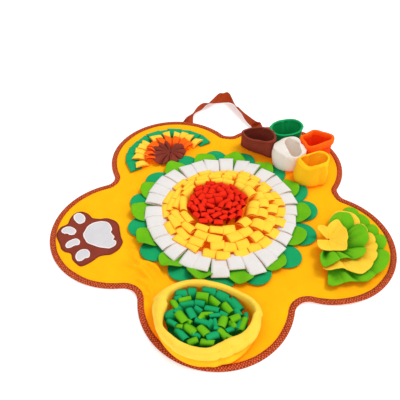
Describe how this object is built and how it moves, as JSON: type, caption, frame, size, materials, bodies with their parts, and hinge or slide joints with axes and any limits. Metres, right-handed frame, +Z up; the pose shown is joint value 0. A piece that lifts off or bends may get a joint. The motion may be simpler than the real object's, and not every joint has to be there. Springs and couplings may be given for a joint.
{
  "type": "snuffle mat",
  "caption": "Five-lobed cloth snuffle mat for a pet, with a sewn flower of tabs, small cups, a pouch of loops, ruffles, a paw patch and a carry handle.",
  "frame": {"origin": "middle of the mat's underside, on the floor", "axes": "+Z up from the floor, -Y towards the lobe that holds the pouch, +Y towards the handle"},
  "size_m": [0.9229, 1.0506, 0.0851],
  "materials": {
    "golden_felt": "soft pressed felt",
    "rust_tape": "woven twill tape",
    "rust_webbing": "woven webbing",
    "white_felt": "soft pressed felt",
    "yellow_fleece": "brushed fleece",
    "red_fleece": "brushed fleece",
    "dark_green_felt": "soft pressed felt",
    "light_green_felt": "soft pressed felt",
    "brown_felt": "soft pressed felt",
    "green_fleece": "brushed fleece",
    "orange_fleece": "brushed fleece",
    "pale_yellow_fleece": "brushed fleece"
  },
  "bodies": {
    "root": {"mat_base": "golden_felt", "edge_binding": "rust_tape", "carry_handle": "rust_webbing", "flower_white_fringe": "white_felt", "flower_yellow_outer": "yellow_fleece", "flower_yellow_middle": "yellow_fleece", "flower_yellow_inner": "yellow_fleece", "flower_red_loops": "red_fleece", "petal_dark_01": "dark_green_felt", "petal_dark_02": "dark_green_felt", "petal_dark_03": "dark_green_felt", "petal_dark_04": "dark_green_felt", "petal_dark_05": "dark_green_felt", "petal_dark_06": "dark_green_felt", "petal_dark_07": "dark_green_felt", "petal_dark_08": "dark_green_felt", "petal_dark_09": "dark_green_felt", "petal_dark_10": "dark_green_felt", "petal_dark_11": "dark_green_felt", "petal_dark_12": "dark_green_felt", "petal_dark_13": "dark_green_felt", "petal_dark_14": "dark_green_felt", "petal_dark_15": "dark_green_felt", "petal_light_01": "light_green_felt", "petal_light_02": "light_green_felt", "petal_light_03": "light_green_felt", "petal_light_04": "light_green_felt", "petal_light_05": "light_green_felt", "petal_light_06": "light_green_felt", "petal_light_07": "light_green_felt", "petal_light_08": "light_green_felt", "petal_light_09": "light_green_felt", "petal_light_10": "light_green_felt", "petal_light_11": "light_green_felt", "petal_light_12": "light_green_felt", "petal_light_13": "light_green_felt", "petal_light_14": "light_green_felt", "petal_light_15": "light_green_felt", "cup_brown": "brown_felt", "cup_green": "green_fleece", "cup_orange": "orange_fleece", "cup_white": "white_felt", "cup_yellow": "yellow_fleece", "ruffle_1": "light_green_felt", "ruffle_2": "pale_yellow_fleece", "ruffle_3": "light_green_felt", "ruffle_4": "pale_yellow_fleece", "pouch_wall": "pale_yellow_fleece", "pouch_loops_dark": "dark_green_felt", "pouch_loops_light": "light_green_felt", "fan_green": "dark_green_felt", "fan_yellow": "yellow_fleece", "fan_orange": "orange_fleece", "fan_brown": "brown_felt", "paw_patch": "brown_felt", "paw_pad_palm": "white_felt", "paw_pad_toe_1": "white_felt", "paw_pad_toe_2": "white_felt", "paw_pad_toe_3": "white_felt", "paw_pad_toe_4": "white_felt"}
  },
  "joints": []
}
